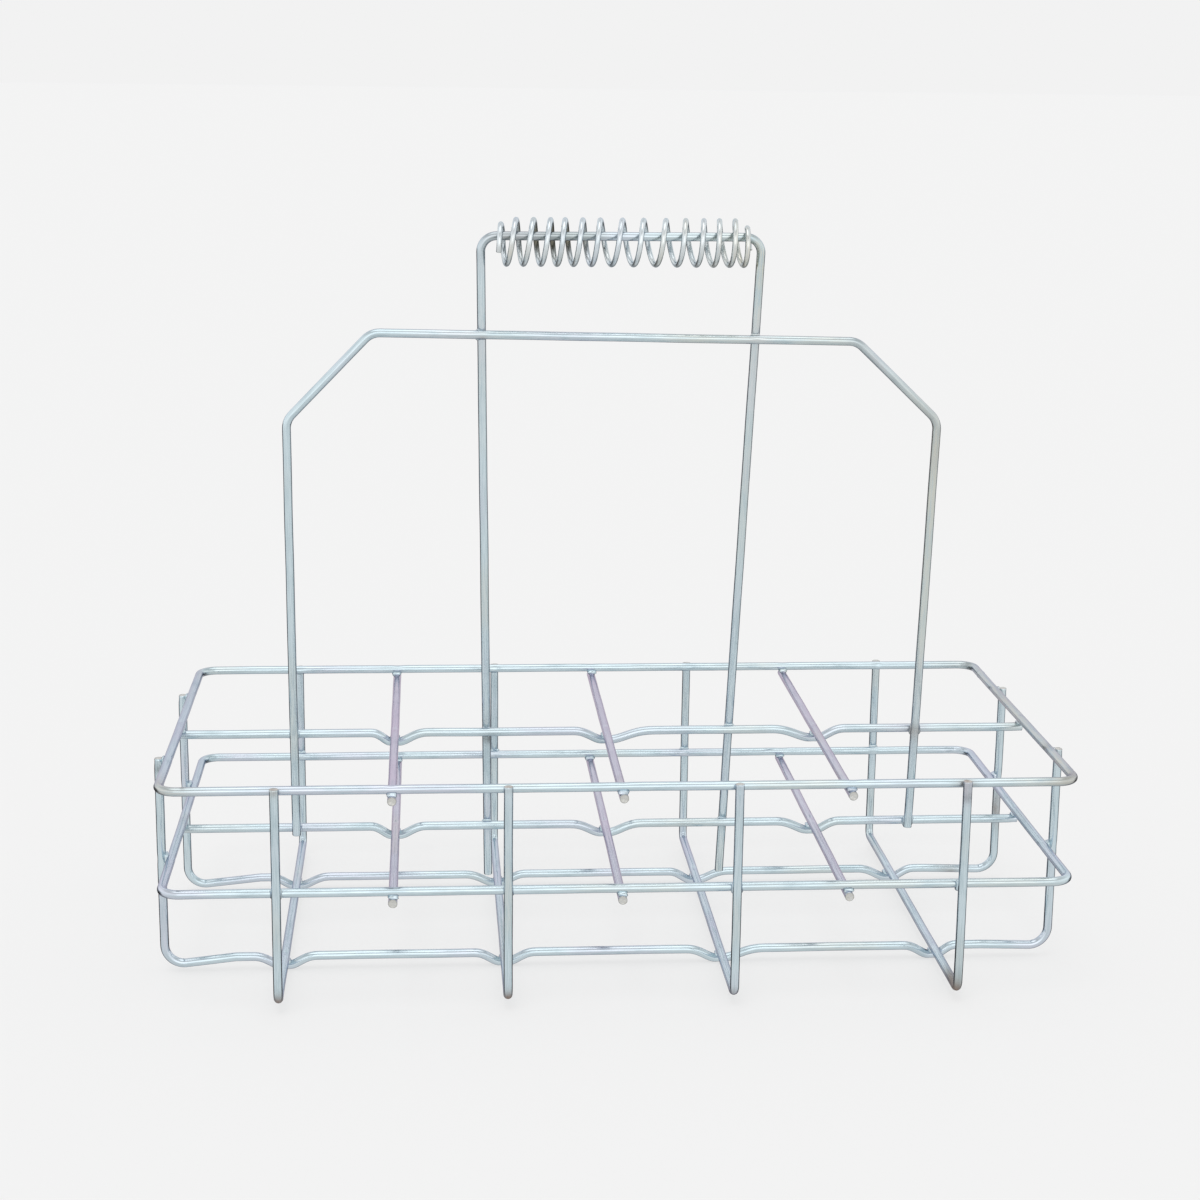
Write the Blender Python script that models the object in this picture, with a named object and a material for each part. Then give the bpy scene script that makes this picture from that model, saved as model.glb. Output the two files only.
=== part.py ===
"""Wire bottle rack: two rows of square cells in welded wire, a brace hoop, and a handle with a coil grip.

Lengths are in metres and +Z is up. X runs along a row of cells, Y goes across the two rows from front to
back, and the rack stands on z = 0. The welded wires keep a small gap where they cross.
"""

import math

import bpy
from mathutils import Vector

# Wire of the rack
WIRE_DIAMETER = 0.0044
WELD_GAP = 0.0003  # between two wires that are welded across each other
CENTRE_WIRE_OVERHANG = 0.0010  # past the centreline of the short side that carries it
DIVIDER_OVERHANG = 0.0039  # past the centreline of the rail that carries it

# Rings and cells
RING_LENGTH = 0.430
RING_WIDTH = 0.215
RING_CORNER_RADIUS = 0.009
MIDDLE_RING_RISE = 0.0519  # over the run of the cradle wires
TOP_RING_RISE = 0.0499  # over the middle ring
CELL_COLUMNS = 4

# Crimps, where one wire dips under another
CRIMP_FLAT = 0.0055
CRIMP_RAMP = 0.011

# Cradle wires, across the rack
CRADLE_BEND_RADIUS = 0.0042

# Base wires, along the rack
BASE_SPACING = 0.112
BASE_BEND_RADIUS = 0.0095
BASE_TOP_RISE = 0.0005  # of the cut ends over the centreline of the top ring
BASE_LEFT_SAG = 0.004
BASE_RIGHT_SAG = 0.001

# Handle
HANDLE_BAR_RISE = 0.2453  # over the top ring
HANDLE_TOP_WIDTH = 0.1377
HANDLE_TOP_SHIFT = 0.0048  # of its middle towards +X
HANDLE_FOOT_WIDTH = 0.1205
HANDLE_FOOT_SHIFT = 0.0002
HANDLE_FOOT_DROP = 0.0328  # below the middle ring
HANDLE_BEND_RADIUS = 0.0077

# Brace hoop
HOOP_LEFT_RISE = 0.1985  # over the top ring
HOOP_RIGHT_RISE = 0.1950
HOOP_SHOULDER_RISE = 0.1556
HOOP_SHOULDER_RUN = 0.0418  # of a sloped shoulder along X
HOOP_SHOULDER_WIDTH = 0.3226
HOOP_SHOULDER_SHIFT = 0.0023
HOOP_FOOT_WIDTH = 0.3150
HOOP_FOOT_SHIFT = -0.0002
HOOP_FOOT_DROP = 0.0072  # below the middle ring
HOOP_BEND_RADIUS = 0.010

# Grip coil
COIL_WIRE_DIAMETER = 0.0027
COIL_RADIUS = 0.0107  # to the middle of the wire
COIL_HANG = 0.0029  # of the coil's middle below the bar
COIL_LENGTH = 0.1204  # from the top of the first turn to the top of the last
COIL_SHIFT = 0.0012  # of its middle from the bar's middle, towards +X
COIL_TURN_SHARES = (61, 70, 68, 58, 71, 70, 89, 85, 90, 80, 73, 63, 64, 49)
COIL_LEFT_LEAN = -0.0011  # of a turn's bottom along X, from midway between its two tops
COIL_RIGHT_LEAN = 0.0016
COIL_START_SEAT_GAP = 0.0020  # between the first top and the bar
COIL_END_SEAT_GAP = 0.0009
COIL_START_ANGLE = math.radians(115)  # of wire ahead of the first top
COIL_START_RUN = 0.0012  # of that wire along X
COIL_END_ANGLE = math.radians(115)  # of wire past the last top
COIL_END_RUN = 0.0027

# Smoothness of the bent wires
WIRE_SIDES = 8
COIL_SIDES = 6
BEND_STEP = math.radians(18)
CRIMP_STEPS = 5
COIL_STEPS = 10

# Finishes, as a colour and a roughness
GALVANISED = ((0.47, 0.54, 0.60, 1.0), 0.38)
COIL_STEEL = ((0.50, 0.53, 0.54, 1.0), 0.32)

# Wire stock, as a diameter, a number of sides and a finish
RACK_STOCK = (WIRE_DIAMETER, WIRE_SIDES, GALVANISED)
COIL_STOCK = (COIL_WIRE_DIAMETER, COIL_SIDES, COIL_STEEL)

# What follows from the sizes above
WIRE_RADIUS = WIRE_DIAMETER / 2
CROSSING = WIRE_DIAMETER + WELD_GAP  # between the centrelines of two crossed wires
RUN_Z = WIRE_RADIUS + CROSSING
MIDDLE_Z = RUN_Z + MIDDLE_RING_RISE
TOP_Z = MIDDLE_Z + TOP_RING_RISE
HOOP_TOP_Z = TOP_Z + (HOOP_LEFT_RISE + HOOP_RIGHT_RISE) / 2
BAR_Z = TOP_Z + HANDLE_BAR_RISE
CELL_PITCH = RING_LENGTH / CELL_COLUMNS
RAIL_Y = RING_WIDTH / 2
SIDE_X = RING_LENGTH / 2
DIVIDER_XS = [(i + 1) * CELL_PITCH - SIDE_X for i in range(CELL_COLUMNS - 1)]
CRADLE_XS = [(i + 1 / 2) * CELL_PITCH - SIDE_X for i in range(CELL_COLUMNS)]


def clear_scene():
    for thing in list(bpy.data.objects):
        bpy.data.objects.remove(thing, do_unlink=True)


def wire_material(name, finish):
    """Bare or galvanised wire: a metal of one colour and roughness."""
    colour, roughness = finish
    material = bpy.data.materials.new(name + "_finish")
    material.use_nodes = True
    shader = material.node_tree.nodes["Principled BSDF"]
    shader.inputs["Base Color"].default_value = colour
    shader.inputs["Metallic"].default_value = 1.0
    shader.inputs["Roughness"].default_value = roughness
    material.diffuse_color = colour
    return material


def faceted_radius(diameter, sides):
    """Corner radius of a tube whose flat sides touch the round wire from outside."""
    return diameter / 2 / math.cos(math.pi / sides)


def add_wire(rack, name, points, place=(0, 0, 0), closed=False, stock=RACK_STOCK):
    """One bent wire along its centreline, turned so that its flat sides face the wires it crosses."""
    diameter, sides, finish = stock
    curve = bpy.data.curves.new(name, "CURVE")
    curve.dimensions = "3D"
    curve.twist_mode = "MINIMUM"
    curve.bevel_depth = faceted_radius(diameter, sides)
    curve.bevel_resolution = sides // 2 - 2
    curve.use_fill_caps = not closed
    spline = curve.splines.new("POLY")
    spline.points.add(len(points) - 1)
    for knot, point in zip(spline.points, points):
        knot.co = (*point, 1)
        knot.tilt = math.pi / sides
    spline.use_cyclic_u = closed
    curve.materials.append(wire_material(name, finish))
    wire = bpy.data.objects.new(name, curve)
    wire.location = place
    rack.objects.link(wire)
    return wire


def bend(before, corner, after, radius):
    """Points of the arc that rounds a corner between two straight runs."""
    back = (before - corner).normalized()
    ahead = (after - corner).normalized()
    turn = math.pi - back.angle(ahead)
    reach = radius * math.tan(turn / 2)
    middle = corner + (back + ahead).normalized() * radius / math.cos(turn / 2)
    start = corner + back * reach - middle
    side = start.normalized().cross((corner + ahead * reach - middle).normalized()).cross(start)
    side = side.normalized() * radius
    steps = math.ceil(turn / BEND_STEP)
    angles = [turn * i / steps for i in range(steps + 1)]
    return [middle + start * math.cos(angle) + side * math.sin(angle) for angle in angles]


def bent_path(corners, radius_of):
    """Centreline through the corners, with an arc at each corner that radius_of gives a radius."""
    corners = [Vector(corner) for corner in corners]
    path = []
    for i, corner in enumerate(corners):
        radius = radius_of.get(i, 0)
        if not radius:
            path.append(corner)
            continue
        path += bend(corners[i - 1], corner, corners[(i + 1) % len(corners)], radius)
    return path


def crimped_run(crossings):
    """(x, share of the crimp's depth) along a run that dips once under each crossing."""
    run = []
    for x in crossings:
        for side in (-1, 1):
            steps = range(CRIMP_STEPS + 1) if side < 0 else range(CRIMP_STEPS, -1, -1)
            for i in steps:
                share = (1 - math.cos(math.pi * i / CRIMP_STEPS)) / 2
                away = CRIMP_FLAT / 2 + CRIMP_RAMP * (1 - i / CRIMP_STEPS)
                run.append((x + side * away, share))
    return run


def add_ring(rack, name, z):
    """Rounded rectangle of wire, closed by a butt weld."""
    corners = [(SIDE_X, -RAIL_Y, z), (SIDE_X, RAIL_Y, z), (-SIDE_X, RAIL_Y, z), (-SIDE_X, -RAIL_Y, z)]
    radius_of = {i: RING_CORNER_RADIUS for i in range(len(corners))}
    add_wire(rack, name, bent_path(corners, radius_of), closed=True)


def add_centre_wire(rack, name, ring_z):
    """Long wire under the short sides of a ring, dipping under the three dividers."""
    reach = SIDE_X + CENTRE_WIRE_OVERHANG
    path = [Vector((-reach, 0, 0))]
    path += [Vector((x, 0, -CROSSING * share)) for x, share in crimped_run(DIVIDER_XS)]
    path.append(Vector((reach, 0, 0)))
    add_wire(rack, name, path, place=(0, 0, ring_z - CROSSING))


def add_dividers(rack, level, ring_z):
    """Straight wires across the rack, under the long rails of a ring."""
    reach = RAIL_Y + DIVIDER_OVERHANG
    for i, x in enumerate(DIVIDER_XS):
        path = [Vector((0, -reach, 0)), Vector((0, reach, 0))]
        add_wire(rack, f"{level}_divider_{i + 1}", path, place=(x, 0, ring_z - CROSSING))


def add_cradle_wires(rack):
    """U-shaped wires across the rack, outside the long rails, cut level with the top of the rim."""
    y = RAIL_Y + CROSSING
    top = TOP_Z + WIRE_RADIUS - RUN_Z
    corners = [(0, -y, top), (0, -y, 0), (0, y, 0), (0, y, top)]
    path = bent_path(corners, {1: CRADLE_BEND_RADIUS, 2: CRADLE_BEND_RADIUS})
    for i, x in enumerate(CRADLE_XS):
        add_wire(rack, f"cradle_wire_{i + 1}", path, place=(x, 0, RUN_Z))


def add_base_wires(rack):
    """U-shaped wires along the rack, outside its short sides, dipping under each cradle wire."""
    x = SIDE_X + CROSSING
    top = TOP_Z + BASE_TOP_RISE - RUN_Z
    corners = [(-x, 0, top), (-x, 0, -BASE_LEFT_SAG)]
    corners += [(run_x, 0, -CROSSING * share) for run_x, share in crimped_run(CRADLE_XS)]
    corners += [(x, 0, -BASE_RIGHT_SAG), (x, 0, top)]
    path = bent_path(corners, {1: BASE_BEND_RADIUS, len(corners) - 2: BASE_BEND_RADIUS})
    for name, side in (("front", -1), ("back", 1)):
        add_wire(rack, f"base_wire_{name}", path, place=(0, side * BASE_SPACING / 2, RUN_Z))


def lean(z, side):
    """How far in front of (side -1) or behind (side 1) the middle plane a leg is at a height.

    Both legs stand one crossing from the centre wires, then lean together until the hoop meets the handle.
    """
    climb = max(z - TOP_Z, 0) / (HOOP_TOP_Z - TOP_Z)
    return side * CROSSING * (1 - climb / 2)


def between(low, high, z):
    """Value at height z on the straight line through two (z, value) pairs."""
    return low[1] + (high[1] - low[1]) * (z - low[0]) / (high[0] - low[0])


def leg_x(side, z, foot, top):
    """X of a straight leg at height z; foot and top are (z, width, shift)."""
    ends = [(end[0], end[2] + side * end[1] / 2) for end in (foot, top)]
    return between(ends[0], ends[1], z)


def add_handle(rack):
    """Tall inverted U behind the centre wires, whose legs draw together towards their feet."""
    foot = (MIDDLE_Z - HANDLE_FOOT_DROP, HANDLE_FOOT_WIDTH, HANDLE_FOOT_SHIFT)
    top = (BAR_Z, HANDLE_TOP_WIDTH, HANDLE_TOP_SHIFT)
    left = [(leg_x(-1, z, foot, top), lean(z, 1), z) for z in (foot[0], TOP_Z, BAR_Z)]
    right = [(leg_x(1, z, foot, top), lean(z, 1), z) for z in (BAR_Z, TOP_Z, foot[0])]
    path = bent_path(left + right, {2: HANDLE_BEND_RADIUS, 3: HANDLE_BEND_RADIUS})
    add_wire(rack, "handle_wire", path)


def add_hoop(rack):
    """Wide inverted U with sloped shoulders, in front of the centre wires and of the handle's legs."""
    foot = (MIDDLE_Z - HOOP_FOOT_DROP, HOOP_FOOT_WIDTH, HOOP_FOOT_SHIFT)
    shoulder = (TOP_Z + HOOP_SHOULDER_RISE, HOOP_SHOULDER_WIDTH, HOOP_SHOULDER_SHIFT)
    sides = []
    for side, top_z in ((-1, TOP_Z + HOOP_LEFT_RISE), (1, TOP_Z + HOOP_RIGHT_RISE)):
        leg = [(leg_x(side, z, foot, shoulder), lean(z, -1), z) for z in (foot[0], TOP_Z, shoulder[0])]
        top_x = leg[-1][0] - side * HOOP_SHOULDER_RUN
        sides.append(leg + [(top_x, lean(HOOP_TOP_Z, -1), top_z)])
    corners = sides[0] + sides[1][::-1]
    path = bent_path(corners, {i: HOOP_BEND_RADIUS for i in (2, 3, 4, 5)})
    add_wire(rack, "brace_hoop", path)


def coil_tops():
    """X of the top of each turn, counted from the first."""
    shares = COIL_TURN_SHARES
    return [COIL_LENGTH * sum(shares[:i]) / sum(shares) for i in range(len(shares) + 1)]


def coil_x(turn, first, last):
    """X of the coil after so many turns, counted from the first top; the wire runs from first to last."""
    tops = coil_tops()
    turns = len(tops) - 1
    if turn < 0:
        return -COIL_START_RUN * turn / first
    if turn > turns:
        return tops[-1] + COIL_END_RUN * (turn - turns) / (last - turns)
    whole = min(math.floor(turn), turns - 1)
    along = between((whole, tops[whole]), (whole + 1, tops[whole + 1]), turn)
    tilt = between((0, COIL_LEFT_LEAN), (turns, COIL_RIGHT_LEAN), turn)
    return along + tilt * (1 - math.cos(math.tau * turn)) / 2


def coil_radius(turn, turns):
    """Radius after so many turns: the first and the last top are drawn in, onto the bar."""
    seat = COIL_HANG + WIRE_RADIUS + COIL_WIRE_DIAMETER / 2
    radius = COIL_RADIUS
    for top, gap in ((0, COIL_START_SEAT_GAP), (turns, COIL_END_SEAT_GAP)):
        near = max(1 - 2 * abs(turn - top), 0)
        radius -= (COIL_RADIUS - seat - gap) * math.sin(near * math.pi / 2) ** 2
    return radius


def coil_path():
    """Left-hand coil along +X: each turn goes from the top down the back, under, and up the front."""
    turns = len(COIL_TURN_SHARES)
    first = -COIL_START_ANGLE / math.tau
    last = turns + COIL_END_ANGLE / math.tau
    start_x = HANDLE_TOP_SHIFT + COIL_SHIFT - COIL_LENGTH / 2
    steps = math.ceil((last - first) * COIL_STEPS)
    path = []
    for i in range(steps + 1):
        turn = first + (last - first) * i / steps
        radius = coil_radius(turn, turns)
        angle = math.tau * turn
        x = start_x + coil_x(turn, first, last)
        path.append(Vector((x, radius * math.sin(angle), radius * math.cos(angle) - COIL_HANG)))
    return path


def least_gap(path, diameter, apart):
    """Least gap of a wound wire to itself, between points that are at least so many steps apart."""
    pairs = [(a, b) for i, a in enumerate(path) for b in path[i + apart:]]
    return min((b - a).length for a, b in pairs) - diameter


def add_grip(rack):
    """Loose coil on the hand bar, with its origin on the bar's axis."""
    path = coil_path()
    gap = least_gap(path, COIL_WIRE_DIAMETER, COIL_STEPS // 2)
    print(f"grip_coil: least gap to itself {gap:.5f} m")
    add_wire(rack, "grip_coil", path, place=(0, lean(BAR_Z, 1), BAR_Z), stock=COIL_STOCK)


def build():
    clear_scene()
    rack = bpy.data.collections.new("wire_bottle_rack")
    bpy.context.scene.collection.children.link(rack)
    for level, ring_z in (("top", TOP_Z), ("middle", MIDDLE_Z)):
        add_ring(rack, f"{level}_ring", ring_z)
        add_centre_wire(rack, f"{level}_centre_wire", ring_z)
        add_dividers(rack, level, ring_z)
    add_cradle_wires(rack)
    add_base_wires(rack)
    add_handle(rack)
    add_hoop(rack)
    add_grip(rack)


build()
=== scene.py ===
# Looks of the wire bottle rack: round drawn wire with its bends, pressed welds, cut ends and zinc finish.
import math

import bpy
import numpy as np
from mathutils import Matrix, Vector


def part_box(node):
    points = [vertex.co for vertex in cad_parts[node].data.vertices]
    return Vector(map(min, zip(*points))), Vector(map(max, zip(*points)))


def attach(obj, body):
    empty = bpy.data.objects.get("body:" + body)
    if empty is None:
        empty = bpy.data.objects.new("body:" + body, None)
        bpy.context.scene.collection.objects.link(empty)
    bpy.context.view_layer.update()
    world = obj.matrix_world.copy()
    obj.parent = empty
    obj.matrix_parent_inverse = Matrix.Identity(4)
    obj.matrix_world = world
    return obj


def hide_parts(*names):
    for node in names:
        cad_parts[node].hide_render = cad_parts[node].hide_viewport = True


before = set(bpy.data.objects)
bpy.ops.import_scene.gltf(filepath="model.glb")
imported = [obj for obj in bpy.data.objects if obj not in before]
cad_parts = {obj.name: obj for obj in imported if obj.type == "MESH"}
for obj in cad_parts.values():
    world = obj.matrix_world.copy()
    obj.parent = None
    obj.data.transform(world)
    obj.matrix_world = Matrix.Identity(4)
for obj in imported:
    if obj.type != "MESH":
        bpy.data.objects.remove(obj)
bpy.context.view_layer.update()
print("frame loaded:", len(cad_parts), "solids")

mm = 0.001
xAxis = (1, 0, 0)
yAxis = (0, 1, 0)
zAxis = (0, 0, 1)
paper = "#F2F2F2"  # the pale floor and backdrop


# Nodes and colours

smooth = {"interpolation_type": "SMOOTHSTEP"}
times = {"operation": "MULTIPLY"}
larger = {"operation": "MAXIMUM"}
scaledSum = {"operation": "MULTIPLY_ADD"}


def linear(hexColour):
    # sRGB hex to linear RGBA: the low part is a straight line, the rest a power of 2.4
    values = [int(hexColour[i:i + 2], 16) / 255 for i in (1, 3, 5)]
    return (*[v / 12.92 if v < 0.04045 else ((v + 0.055) / 1.055) ** 2.4 for v in values], 1)


def addNode(tree, kind, settings=None, inputs=()):
    # One shader node. Its inputs come in order or by name. Each is a value, the socket that feeds it, or a
    # node whose first output in use does.
    node = tree.nodes.new("ShaderNode" + kind)
    for name, value in (settings or {}).items():
        setattr(node, name, value)
    for name, value in (inputs.items() if isinstance(inputs, dict) else enumerate(inputs)):
        if isinstance(value, bpy.types.Node):
            value = next(socket for socket in value.outputs if socket.enabled)
        if isinstance(value, bpy.types.NodeSocket):
            tree.links.new(value, node.inputs[name])
        else:
            node.inputs[name].default_value = value
    return node


def emptyTree(owner):
    owner.use_nodes = True
    owner.node_tree.nodes.clear()
    return owner.node_tree


# Camera, light and floor

shot = {
    "target": (-3.883, 0, 172.607),  # in mm
    "distance": 1150.054,
    "yaw": 4.429,  # in degrees, as the next two
    "pitch": 13.224,
    "roll": 0.698,
    "lens": 68.436,  # in mm, as the sensor's width
    "sensor": 36,
}

light = {
    "horizon": 1.0,  # level of the pale room
    "zenith": 1.10,
    "evenSpan": (-0.1, 1.0),  # z shares between which it goes from the one to the other
    "keyStrength": 0.42,
    "keyAngle": 22,  # spread of the key, like a softbox overhead
    "keyFrom": (-0.15, -0.30, 1.0),
    # what bright metal reflects: degrees above the horizon and the level there, from the floor up past a
    # lit wall and a darker gap to the softbox overhead
    "bands": (
        (-90, 0.78), (-72, 0.78), (-48, 0.80), (-25, 0.88), (-12, 0.88), (-2, 1.0),
        (6, 1.12), (32, 1.08), (46, 0.80), (60, 0.74), (72, 1.55), (90, 1.65)),
    "frontFrom": (0, -0.94, 0.34),  # a second softbox, low in front: its spread is given as cosines
    "frontSpread": (0.90, 0.97),
    "frontGain": 0.40,
    "flags": (0.10, 0.40, 0.84, 0.96),  # y shares between which dark flags stand at both sides, behind
    "flagLoss": (0.88, 0.72),  # left and right
    "flagTop": (0.12, -0.02),  # z shares over which they fade
    "flagFoot": (-0.55, -0.38),
    "lowLoss": 0.55,  # behind and below, where the floor lies in the object's shade
    "lowFrom": (-0.26, -0.50),  # z shares over which that sets in, and wanes again straight below
    "lowTo": (-0.92, -0.78),
    "lowBehind": (0.0, 0.35),  # and y shares over which it sets in
    "floorHalf": 40,  # half the floor's side, in metres
    "floorLevel": 0.87,  # of the light that falls on the floor, so that it shows as the paper's own colour
    "glow": 0.7,  # share of the floor's own paleness, which lightens the shadows on it
}


def addCamera():
    # Looks along yaw and pitch at the target; its up side is then turned by the roll.
    yaw, pitch, roll = (math.radians(shot[key]) for key in ("yaw", "pitch", "roll"))
    ahead = Vector((math.sin(yaw) * math.cos(pitch), math.cos(yaw) * math.cos(pitch), -math.sin(pitch)))
    right = Vector((math.cos(yaw), -math.sin(yaw), 0))
    up = right.cross(ahead)
    rolledRight = right * math.cos(roll) + up * math.sin(roll)
    rolledUp = up * math.cos(roll) - right * math.sin(roll)
    camera = bpy.data.objects.new("photoCamera", bpy.data.cameras.new("photoCamera"))
    camera.data.sensor_width = shot["sensor"]
    camera.data.lens = shot["lens"]
    turn = Matrix((rolledRight, rolledUp, -ahead)).transposed().to_4x4()
    place = Vector(shot["target"]) * mm - ahead * shot["distance"] * mm
    camera.matrix_world = Matrix.Translation(place) @ turn
    bpy.context.scene.collection.objects.link(camera)
    bpy.context.scene.camera = camera


def reflectedRoom(tree, direction):
    # Level that a shiny wire sees in a direction: bands by height, less a dark flag at each side behind and
    # the shade low behind, and more where the front softbox stands.
    part = addNode(tree, "SeparateXYZ", {}, [direction])
    rise = addNode(tree, "Math", {"operation": "ARCSINE"}, [part.outputs["Z"]])
    height = addNode(tree, "MapRange", {}, [rise, -math.pi / 2, math.pi / 2, 0, 1])
    bands = addNode(tree, "ValToRGB", {}, [height])
    bands.color_ramp.interpolation = "EASE"
    stops = bands.color_ramp.elements
    stops.remove(stops[1])
    for i, (angle, level) in enumerate(light["bands"]):
        stop = stops.new((angle + 90) / 180) if i else stops[0]
        stop.color = (level, level, level, 1)

    flat = addNode(tree, "VectorMath", times, [direction, (1, 1, 0)])
    flat = addNode(tree, "VectorMath", {"operation": "NORMALIZE"}, [flat])
    flat = addNode(tree, "SeparateXYZ", {}, [flat])
    start, full, wane, end = light["flags"]
    wedge = addNode(tree, "Math", times, [
        addNode(tree, "MapRange", smooth, [flat.outputs["Y"], start, full]),
        addNode(tree, "MapRange", smooth, [flat.outputs["Y"], wane, end, 1.0, 0.0])])
    for ends in ("flagTop", "flagFoot"):
        wedge = addNode(tree, "Math", times, [
            wedge, addNode(tree, "MapRange", smooth, [part.outputs["Z"], *light[ends]])])
    loss = addNode(tree, "MapRange", {}, [flat.outputs["X"], -1.0, 1.0, *light["flagLoss"]])
    lost = addNode(tree, "Math", times, [wedge, loss])
    low = addNode(tree, "Math", times, [
        addNode(tree, "MapRange", smooth, [part.outputs["Z"], *light["lowFrom"]]),
        addNode(tree, "MapRange", smooth, [part.outputs["Z"], *light["lowTo"]])])
    behind = addNode(tree, "MapRange", smooth, [part.outputs["Y"], *light["lowBehind"]])
    low = addNode(tree, "Math", times, [low, behind])
    lost = addNode(tree, "Math", scaledSum, [low, light["lowLoss"], lost])
    left = addNode(tree, "Math", {"operation": "SUBTRACT", "use_clamp": True}, [1.0, lost])
    near = addNode(tree, "VectorMath", {"operation": "DOT_PRODUCT"}, [
        direction, Vector(light["frontFrom"]).normalized()])
    front = addNode(tree, "MapRange", smooth, [near, *light["frontSpread"], 0.0, light["frontGain"]])
    return addNode(tree, "Math", scaledSum, [bands, left, front])


def addRoom():
    # An even pale room. Shiny metal sees it in bands instead, below the horizon too, in place of the floor.
    world = bpy.data.worlds.new("paleStudio")
    bpy.context.scene.world = world
    tree = emptyTree(world)
    direction = addNode(tree, "TexCoord").outputs["Generated"]
    climb = addNode(tree, "SeparateXYZ", {}, [direction]).outputs["Z"]
    even = addNode(tree, "MapRange", smooth, [climb, *light["evenSpan"], light["horizon"], light["zenith"]])
    path = addNode(tree, "LightPath")
    level = addNode(tree, "Mix", {"data_type": "FLOAT"}, {
        0: path.outputs["Is Glossy Ray"], 2: even, 3: reflectedRoom(tree, direction)})
    room = addNode(tree, "Background", {}, {"Color": (1, 1, 1, 1), "Strength": level})
    plain = addNode(tree, "Background", {}, {"Color": linear(paper), "Strength": 1.0})
    seen = addNode(tree, "Math", larger, [
        path.outputs["Is Camera Ray"], path.outputs["Is Transmission Ray"]])
    addNode(tree, "OutputWorld", {}, {"Surface": addNode(tree, "MixShader", {}, [seen, room, plain])})


def addKeyLight():
    key = bpy.data.objects.new("keyLight", bpy.data.lights.new("keyLight", "SUN"))
    key.data.energy = light["keyStrength"]
    key.data.angle = math.radians(light["keyAngle"])
    key.rotation_euler = Vector(light["keyFrom"]).to_track_quat("Z", "Y").to_euler()
    key.visible_glossy = False  # the bands hold its reflection
    bpy.context.scene.collection.objects.link(key)


def addFloor():
    # A square that shows as the paper's own colour and keeps the object's shadow.
    reach = light["floorHalf"]
    corners = [(-reach, -reach, 0), (reach, -reach, 0), (reach, reach, 0), (-reach, reach, 0)]
    mesh = bpy.data.meshes.new("floor")
    mesh.from_pydata(corners, [], [(0, 1, 2, 3)])
    floor = bpy.data.objects.new("floor", mesh)
    bpy.context.scene.collection.objects.link(floor)
    cloth = bpy.data.materials.new("paleFloor")
    tree = emptyTree(cloth)
    path = addNode(tree, "LightPath")
    seen = addNode(tree, "Math", larger, [
        path.outputs["Is Camera Ray"], path.outputs["Is Transmission Ray"]])
    share = addNode(tree, "Math", times, [seen, light["glow"]])
    lit = addNode(tree, "VectorMath", {"operation": "SCALE"}, {
        0: linear(paper)[:3], "Scale": light["floorLevel"]})
    diffuse = addNode(tree, "BsdfDiffuse", {}, [lit])
    glow = addNode(tree, "Emission", {}, [linear(paper), 1.0])
    addNode(tree, "OutputMaterial", {}, {"Surface": addNode(tree, "MixShader", {}, [share, diffuse, glow])})
    mesh.materials.append(cloth)
    floor.visible_glossy = False


bpy.context.scene.view_settings.view_transform = "Standard"
addCamera()
addRoom()
addKeyLight()
addFloor()
print("camera, light and floor set")


# Finishes

zinc = {
    "clean": "#CEDDE3",  # bright zinc with a blue passivation
    "dull": "#B5C7CE",
    "lilac": "#CFCEDD",  # passivation film a little thicker
    "straw": "#CFD0C6",  # and where it turns yellowish
    "edge": "#C8C4D1",  # reflectance near grazing
    "rust": "#7B5A3E",
    # colour of tarnish, and of painted shade inside the grip coil and round each cut face's rim
    "tarnishAndShade": "#7D7A6E",
    "scale": "#3A3029",
    "cutSteel": "#C6C6C1",
    "rough": 0.15,
    "roughDull": 0.10,  # more, where it is dull
    "roughBrown": 0.25,  # and where it is brown
    "bump": 0.26,
    "lineDepth": 0.05 * mm,
    "pitDepth": 0.07 * mm,
    "fineness": 0.6,  # how much each pattern's finer waves count
    # painted shade: the rim's dark line stands for the shade where a cut face's rolled rim turns away
    "rim": 1.4,  # strength of the dark line round a cut face
    "patterns": {  # size in mm, how far it is drawn out along the wire, detail
        "streaks": (0.5, 28, 2),  # drawing lines, drawn coarse enough to show
        "clouds": (9, 2.5, 4),  # dull patches
        "film": (60, 1, 1),  # changes in tint
        "pits": (0.55, 1.5, 2),
    },
    "ranges": {  # levels of a pattern or mark between which each of these sets in, and its strength at both
        "lilac": (0.50, 0.72, 0, 0.6),
        "straw": (0.46, 0.30, 0, 0.4),
        "lined": (0.42, 0.64, 0, 0.55),
        "clouded": (0.50, 0.74, 0, 0.55),
        "heated": (0.35, 1.0, 0, 0.35),
        "patchy": (0.30, 0.62, 0.35, 1.25),
        "specked": (0.30, 0.55, 0.5, 1.3),
        "metal": (0.2, 1.0, 1.0, 0.35),  # less of a metal as it turns brown, scaled or bare
    },
}

coilSteel = dict(
    zinc, clean="#E3EBF0", dull="#C6D1D7", lilac="#DADFE8", straw="#DFDBCD", rust="#5C5A4C", edge="#CAD0D6",
    rough=0.20, bump=0.06,
    patterns={"streaks": (0.35, 26, 2), "clouds": (6, 2.5, 4), "film": (30, 1, 1), "pits": (0.4, 1.5, 2)})

rosyZinc = dict(zinc, clean="#D0D8E0", dull="#BDC4CF", lilac="#D2CCDA", edge="#CFC1CF")  # a thicker film


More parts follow.
